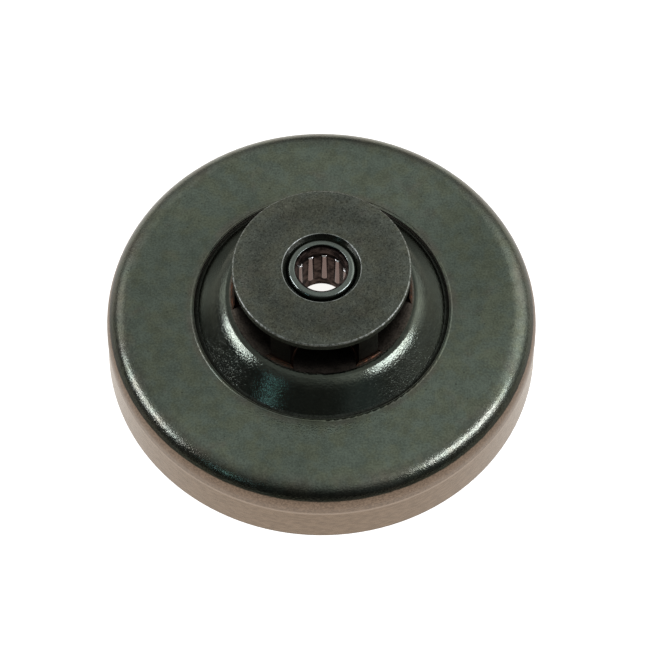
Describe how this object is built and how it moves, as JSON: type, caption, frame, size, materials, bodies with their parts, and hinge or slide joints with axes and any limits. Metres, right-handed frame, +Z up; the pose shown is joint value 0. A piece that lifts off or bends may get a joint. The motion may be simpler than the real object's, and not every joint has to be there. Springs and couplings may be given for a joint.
{
  "type": "chainsaw clutch drum",
  "caption": "Pressed steel clutch drum with a domed web, a brazed spur sprocket with a guide washer, and a caged needle bearing in its bore.",
  "frame": {"origin": "centre of the drum's open rim, on the surface that the drum stands on", "axes": "+Z up the drum's axis, from the open rim towards the sprocket and its guide washer"},
  "size_m": [0.076, 0.076, 0.0285],
  "materials": {
    "oxide_steel": "dark green-grey oxide on the web and dome, bare warm grey steel on the skirt",
    "sintered_steel": "dark oxide with a copper-brown stain",
    "washer_steel": "dark green-grey oxide, fine grain",
    "copper_braze": "dull copper-brown",
    "bearing_cup_steel": "satin hardened steel",
    "cage_steel": "oiled brown",
    "needle_steel": "ground, lightly oiled"
  },
  "bodies": {
    "drum": {"drum_cup": "oxide_steel", "sprocket": "sintered_steel", "guide_washer": "washer_steel", "outer_braze_fillet": "copper_braze", "inner_braze_fillet": "copper_braze", "bearing_cup": "bearing_cup_steel"},
    "cage": {"bearing_cage": "cage_steel"},
    "roller_1": {"needle_1": "needle_steel"},
    "roller_2": {"needle_2": "needle_steel"},
    "roller_3": {"needle_3": "needle_steel"},
    "roller_4": {"needle_4": "needle_steel"},
    "roller_5": {"needle_5": "needle_steel"},
    "roller_6": {"needle_6": "needle_steel"},
    "roller_7": {"needle_7": "needle_steel"},
    "roller_8": {"needle_8": "needle_steel"},
    "roller_9": {"needle_9": "needle_steel"},
    "roller_10": {"needle_10": "needle_steel"},
    "roller_11": {"needle_11": "needle_steel"}
  },
  "joints": [
    {"name": "cage_turn", "type": "hinge", "parent": "drum", "child": "cage", "pos_m": [0, 0, 0.02165], "axis": [0, 0, 1], "continuous": true},
    {"name": "needle_1_spin", "type": "hinge", "parent": "cage", "child": "roller_1", "pos_m": [0.00053, 0.00472, 0.02165], "axis": [0, 0, 1], "continuous": true},
    {"name": "needle_2_spin", "type": "hinge", "parent": "cage", "child": "roller_2", "pos_m": [-0.00211, 0.00426, 0.02165], "axis": [0, 0, 1], "continuous": true},
    {"name": "needle_3_spin", "type": "hinge", "parent": "cage", "child": "roller_3", "pos_m": [-0.00407, 0.00244, 0.02165], "axis": [0, 0, 1], "continuous": true},
    {"name": "needle_4_spin", "type": "hinge", "parent": "cage", "child": "roller_4", "pos_m": [-0.00475, -0.00015, 0.02165], "axis": [0, 0, 1], "continuous": true},
    {"name": "needle_5_spin", "type": "hinge", "parent": "cage", "child": "roller_5", "pos_m": [-0.00391, -0.00269, 0.02165], "axis": [0, 0, 1], "continuous": true},
    {"name": "needle_6_spin", "type": "hinge", "parent": "cage", "child": "roller_6", "pos_m": [-0.00184, -0.00438, 0.02165], "axis": [0, 0, 1], "continuous": true},
    {"name": "needle_7_spin", "type": "hinge", "parent": "cage", "child": "roller_7", "pos_m": [0.00082, -0.00468, 0.02165], "axis": [0, 0, 1], "continuous": true},
    {"name": "needle_8_spin", "type": "hinge", "parent": "cage", "child": "roller_8", "pos_m": [0.00322, -0.00349, 0.02165], "axis": [0, 0, 1], "continuous": true},
    {"name": "needle_9_spin", "type": "hinge", "parent": "cage", "child": "roller_9", "pos_m": [0.0046, -0.0012, 0.02165], "axis": [0, 0, 1], "continuous": true},
    {"name": "needle_10_spin", "type": "hinge", "parent": "cage", "child": "roller_10", "pos_m": [0.00451, 0.00148, 0.02165], "axis": [0, 0, 1], "continuous": true},
    {"name": "needle_11_spin", "type": "hinge", "parent": "cage", "child": "roller_11", "pos_m": [0.003, 0.00368, 0.02165], "axis": [0, 0, 1], "continuous": true}
  ],
  "couplings": [
    {"joint": "needle_1_spin", "follows": "cage_turn", "ratio": -7.36},
    {"joint": "needle_2_spin", "follows": "cage_turn", "ratio": -7.36},
    {"joint": "needle_3_spin", "follows": "cage_turn", "ratio": -7.36},
    {"joint": "needle_4_spin", "follows": "cage_turn", "ratio": -7.36},
    {"joint": "needle_5_spin", "follows": "cage_turn", "ratio": -7.36},
    {"joint": "needle_6_spin", "follows": "cage_turn", "ratio": -7.36},
    {"joint": "needle_7_spin", "follows": "cage_turn", "ratio": -7.36},
    {"joint": "needle_8_spin", "follows": "cage_turn", "ratio": -7.36},
    {"joint": "needle_9_spin", "follows": "cage_turn", "ratio": -7.36},
    {"joint": "needle_10_spin", "follows": "cage_turn", "ratio": -7.36},
    {"joint": "needle_11_spin", "follows": "cage_turn", "ratio": -7.36}
  ]
}
